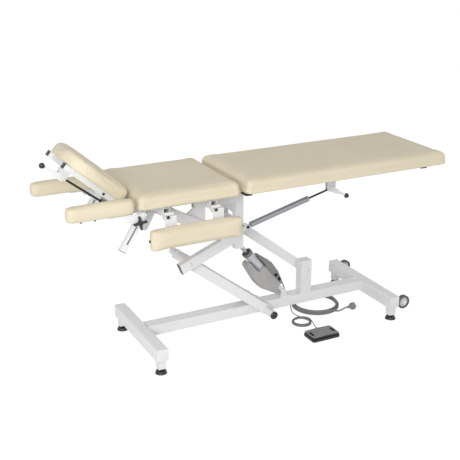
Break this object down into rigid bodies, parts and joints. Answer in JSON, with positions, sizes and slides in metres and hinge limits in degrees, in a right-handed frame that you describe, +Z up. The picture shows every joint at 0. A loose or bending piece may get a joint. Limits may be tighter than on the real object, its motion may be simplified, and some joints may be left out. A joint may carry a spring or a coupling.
{
  "type": "electric massage table",
  "caption": "Padded treatment table in three sections on a motorised parallelogram lift, with armrests, drop-down side pads and foot switch.",
  "frame": {"origin": "on the floor, below the middle of the table's bounding box at rest", "axes": "+X towards the leg end, +Y towards the far side, +Z up"},
  "size_m": [2.021, 0.708, 1.0545],
  "materials": {
    "cushion_cover": "smooth vinyl, satin",
    "frame_paint": "powder coat, semi-gloss",
    "hinge_steel": "brushed",
    "black_plastic": "matte",
    "actuator_grey": "matte",
    "actuator_aluminium": "satin",
    "rod_steel": "polished",
    "spring_black": "satin",
    "switch_grey": "matte",
    "cord_grey": "matte",
    "wheel_grey": "matte"
  },
  "bodies": {
    "base": {"base_rail": "frame_paint", "head_foot_bar": "frame_paint", "leg_foot_bar": "frame_paint", "levelling_feet": "black_plastic", "column_post": "frame_paint", "base_pivot_tube": "frame_paint", "actuator_bracket": "frame_paint", "cord_glands": "black_plastic", "foot_switch_base": "black_plastic", "mains_cord_coil": "cord_grey", "mains_cord_lead": "cord_grey", "mains_plug_lead": "cord_grey", "mains_plug": "cord_grey", "foot_switch_coil": "cord_grey", "foot_switch_lead": "cord_grey", "foot_switch_tail": "cord_grey"},
    "wheel_near": {"wheel_near": "wheel_grey"},
    "wheel_far": {"wheel_far": "wheel_grey"},
    "foot_pedal": {"foot_switch_tread": "switch_grey"},
    "lower_arms": {"lower_arm_near": "frame_paint", "lower_arm_far": "frame_paint", "knee_tube": "frame_paint"},
    "seat_section": {"near_post": "frame_paint", "far_post": "frame_paint", "under_seat_cradle": "frame_paint", "near_strut": "frame_paint", "diagonal_brace": "frame_paint", "rod_lug": "frame_paint", "seat_frame": "frame_paint", "seat_cushion": "cushion_cover", "armrest_rail_near": "frame_paint", "armrest_rail_far": "frame_paint"},
    "upper_arm": {"upper_arm": "frame_paint"},
    "actuator_body": {"actuator_housing": "actuator_grey", "actuator_tube": "actuator_aluminium", "control_box": "switch_grey"},
    "actuator_rod": {"actuator_rod": "rod_steel"},
    "leg_section": {"leg_frame": "frame_paint", "leg_cushion": "cushion_cover"},
    "leg_spring_body": {"leg_spring_cylinder": "spring_black"},
    "leg_spring_piston": {"leg_spring_rod": "rod_steel"},
    "leg_lever": {"leg_release_lever": "frame_paint", "leg_release_knob": "black_plastic"},
    "head_section": {"head_frame": "frame_paint", "head_frame_plugs": "black_plastic", "head_cushion": "cushion_cover"},
    "head_spring_body": {"head_spring_cylinder": "spring_black"},
    "head_spring_piston": {"head_spring_rod": "rod_steel"},
    "head_lever": {"head_release_lever": "frame_paint", "head_release_knob": "black_plastic"},
    "armrest_near": {"armrest_pad_near": "cushion_cover", "armrest_bracket_near": "frame_paint"},
    "star_knob_near": {"armrest_star_knob_near": "black_plastic"},
    "side_pad_near": {"side_pad_near": "cushion_cover", "side_pad_hinges_near": "frame_paint"},
    "armrest_far": {"armrest_pad_far": "cushion_cover", "armrest_bracket_far": "frame_paint"},
    "star_knob_far": {"armrest_star_knob_far": "black_plastic"},
    "side_pad_far": {"side_pad_far": "cushion_cover", "side_pad_hinges_far": "frame_paint"}
  },
  "joints": [
    {"name": "lift_arm_pivot", "type": "hinge", "parent": "base", "child": "lower_arms", "pos_m": [0.08752, 0, 0.104], "axis": [0, 1, 0], "range_deg": [-22, 11]},
    {"name": "knee_pivot", "type": "hinge", "parent": "lower_arms", "child": "seat_section", "pos_m": [-0.33748, -0.08, 0.433], "axis": [0, 1, 0], "range_deg": [-11.2, 22.2]},
    {"name": "upper_arm_pivot", "type": "hinge", "parent": "base", "child": "upper_arm", "pos_m": [0.34352, 0.045, 0.257], "axis": [0, 1, 0], "range_deg": [-22.2, 11.2]},
    {"name": "actuator_base_pivot", "type": "hinge", "parent": "base", "child": "actuator_body", "pos_m": [0.21452, 0, 0.158], "axis": [0, 1, 0], "range_deg": [-30.56, 15.38]},
    {"name": "actuator_rod_pivot", "type": "hinge", "parent": "seat_section", "child": "actuator_rod", "pos_m": [-0.03748, 0, 0.455], "axis": [0, 1, 0], "range_deg": [-30.56, 15.38]},
    {"name": "leg_section_hinge", "type": "hinge", "parent": "seat_section", "child": "leg_section", "pos_m": [-0.13548, 0, 0.77], "axis": [0, 1, 0], "range_deg": [0, 25]},
    {"name": "leg_spring_lower_pivot", "type": "hinge", "parent": "seat_section", "child": "leg_spring_body", "pos_m": [-0.03348, -0.08, 0.57], "axis": [0, 1, 0], "range_deg": [-0.2, 30.45]},
    {"name": "leg_spring_upper_pivot", "type": "hinge", "parent": "leg_section", "child": "leg_spring_piston", "pos_m": [0.43152, -0.08, 0.692], "axis": [0, 1, 0], "range_deg": [-0.2, 5.45]},
    {"name": "leg_release_pivot", "type": "hinge", "parent": "leg_section", "child": "leg_lever", "pos_m": [0.43152, -0.08, 0.692], "axis": [0, 1, 0], "range_deg": [-10, 0], "stiffness_Nm_per_rad": 1},
    {"name": "head_section_hinge", "type": "hinge", "parent": "seat_section", "child": "head_section", "pos_m": [-0.66548, 0, 0.77], "axis": [0, 1, 0], "range_deg": [-41, 0]},
    {"name": "head_spring_lower_pivot", "type": "hinge", "parent": "seat_section", "child": "head_spring_body", "pos_m": [-0.55548, -0.08, 0.65], "axis": [0, 1, 0], "range_deg": [-27.67, 0.2]},
    {"name": "head_spring_upper_pivot", "type": "hinge", "parent": "head_section", "child": "head_spring_piston", "pos_m": [-0.92171, -0.08, 0.93709], "axis": [0, 1, 0], "range_deg": [-0.2, 13.73]},
    {"name": "head_release_pivot", "type": "hinge", "parent": "head_section", "child": "head_lever", "pos_m": [-0.92171, -0.08, 0.93709], "axis": [0, 1, 0], "range_deg": [0, 10], "stiffness_Nm_per_rad": 1},
    {"name": "armrest_slide_near", "type": "slide", "parent": "seat_section", "child": "armrest_near", "axis": [0.5388, 0, 0.8425], "range_m": [-0.1, 0]},
    {"name": "star_knob_turn_near", "type": "hinge", "parent": "armrest_near", "child": "star_knob_near", "pos_m": [-0.64627, -0.26, 0.74725], "axis": [0, 1, 0], "range_deg": [-180, 180]},
    {"name": "side_pad_hinge_near", "type": "hinge", "parent": "seat_section", "child": "side_pad_near", "pos_m": [-0.40148, -0.266, 0.762], "axis": [-1, 0, 0], "range_deg": [0, 90]},
    {"name": "wheel_spin_near", "type": "hinge", "parent": "base", "child": "wheel_near", "pos_m": [0.78002, -0.27, 0.086], "axis": [0, 1, 0], "continuous": true},
    {"name": "armrest_slide_far", "type": "slide", "parent": "seat_section", "child": "armrest_far", "axis": [0.5388, 0, 0.8425], "range_m": [-0.071, 0.029]},
    {"name": "star_knob_turn_far", "type": "hinge", "parent": "armrest_far", "child": "star_knob_far", "pos_m": [-0.66189, 0.26, 0.72282], "axis": [0, 1, 0], "range_deg": [-180, 180]},
    {"name": "side_pad_hinge_far", "type": "hinge", "parent": "seat_section", "child": "side_pad_far", "pos_m": [-0.40148, 0.266, 0.762], "axis": [1, 0, 0], "range_deg": [0, 90]},
    {"name": "wheel_spin_far", "type": "hinge", "parent": "base", "child": "wheel_far", "pos_m": [0.78002, 0.27, 0.086], "axis": [0, 1, 0], "continuous": true},
    {"name": "foot_pedal_rock", "type": "hinge", "parent": "base", "child": "foot_pedal", "pos_m": [0.29152, -0.269, 0.0105], "axis": [0, 1, 0], "range_deg": [-2.5, 2.5], "stiffness_Nm_per_rad": 4}
  ],
  "couplings": [
    {"joint": "knee_pivot", "follows": "lift_arm_pivot", "ratio": -1},
    {"joint": "upper_arm_pivot", "follows": "lift_arm_pivot", "ratio": 1},
    {"joint": "actuator_base_pivot", "follows": "lift_arm_pivot", "ratio": 1.38},
    {"joint": "actuator_rod_pivot", "follows": "lift_arm_pivot", "ratio": 1.38},
    {"joint": "leg_spring_lower_pivot", "follows": "leg_section_hinge", "ratio": 1.21},
    {"joint": "leg_spring_upper_pivot", "follows": "leg_section_hinge", "ratio": 0.21},
    {"joint": "head_spring_lower_pivot", "follows": "head_section_hinge", "ratio": 0.67},
    {"joint": "head_spring_upper_pivot", "follows": "head_section_hinge", "ratio": -0.33}
  ]
}
